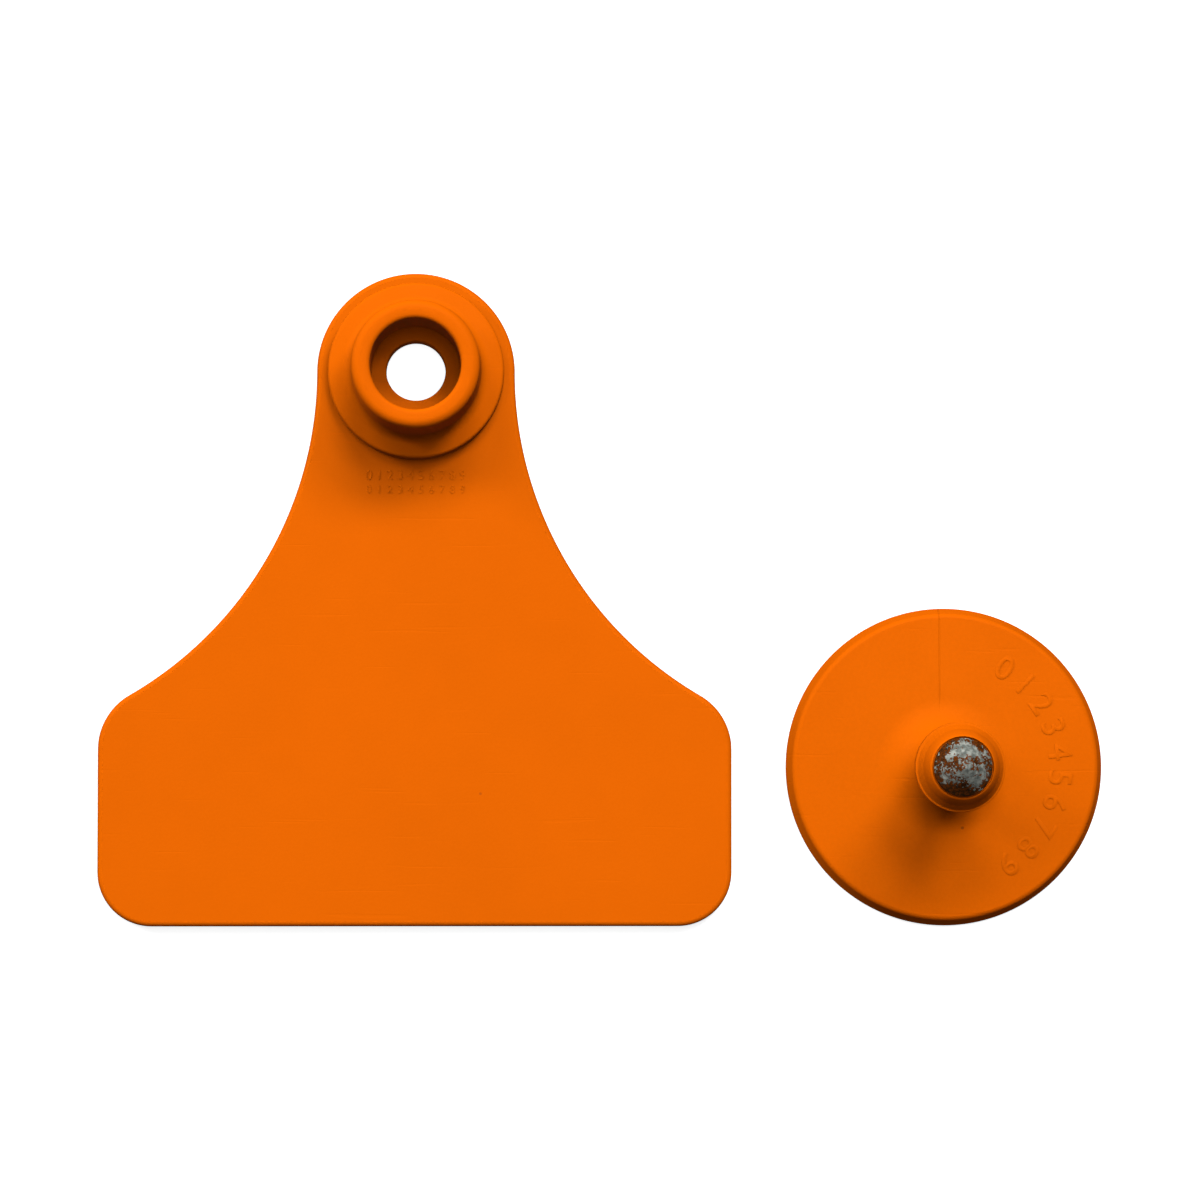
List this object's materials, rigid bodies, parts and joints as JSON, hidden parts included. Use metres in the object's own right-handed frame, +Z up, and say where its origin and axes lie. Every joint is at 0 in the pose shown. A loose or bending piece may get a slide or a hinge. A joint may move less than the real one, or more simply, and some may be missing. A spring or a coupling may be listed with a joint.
{
  "type": "livestock ear tag",
  "caption": "Two-piece plastic ear tag for livestock: a print panel with a hollow socket collar, and a round button whose metal-pointed stud snaps into the socket.",
  "frame": {"origin": "on the surface that both pieces lie on, below the middle of the pair's bounding box", "axes": "+X runs from the panel to the button, +Y runs up the panel from its straight edge to the socket, +Z points up out of the surface along the axes of the socket and the stud"},
  "size_m": [0.0986, 0.064, 0.0202],
  "materials": {
    "panel_plastic": "moulded orange polyurethane, satin",
    "button_plastic": "moulded orange polyurethane, finely textured",
    "tip_metal": "dull grey cast metal with brown rust flecks"
  },
  "bodies": {
    "root": {"tag_panel": "panel_plastic", "button_stud": "button_plastic", "metal_tip": "tip_metal"}
  },
  "joints": []
}
